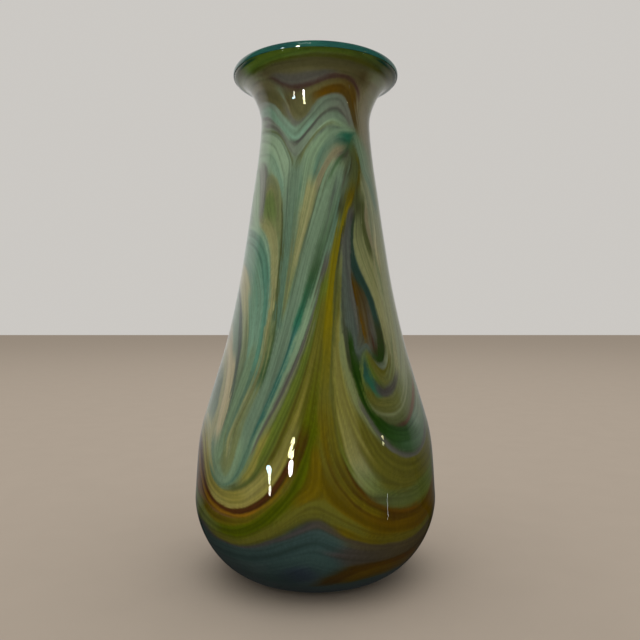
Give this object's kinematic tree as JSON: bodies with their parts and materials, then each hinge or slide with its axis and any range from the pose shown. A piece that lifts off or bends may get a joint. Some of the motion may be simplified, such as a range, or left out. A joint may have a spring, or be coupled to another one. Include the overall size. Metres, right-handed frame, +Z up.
{
  "type": "vase",
  "caption": "Tall pear-shaped hand blown glass vase with combed marbled colour under clear glass and a flared mouth with a teal lip.",
  "frame": {"origin": "on the vase's axis, in the plane of the ground foot that it stands on", "axes": "+Z up along the axis to the mouth; -Y towards the viewer in front, +X to that viewer's right"},
  "size_m": [0.144, 0.144, 0.3],
  "materials": {
    "clear_glass": "fire polished clear glass",
    "base_glass": "blue-grey opaque glass under clear",
    "swag_glass": "mustard and moss opaque glass, combed",
    "body_glass": "sage, teal and grey opaque glass, combed",
    "neck_glass": "amber, purple and olive glass, combed",
    "collar_glass": "olive to green glass",
    "opal_glass": "opal lining glass, glossy",
    "lip_glass": "teal glass, fire polished"
  },
  "bodies": {
    "root": {"clear_casing": "clear_glass", "base_colour_cup": "base_glass", "swag_colour_band": "swag_glass", "body_colour_band": "body_glass", "neck_colour_band": "neck_glass", "collar_colour_band": "collar_glass", "inner_gather": "opal_glass", "lip_wrap": "lip_glass"}
  },
  "joints": []
}
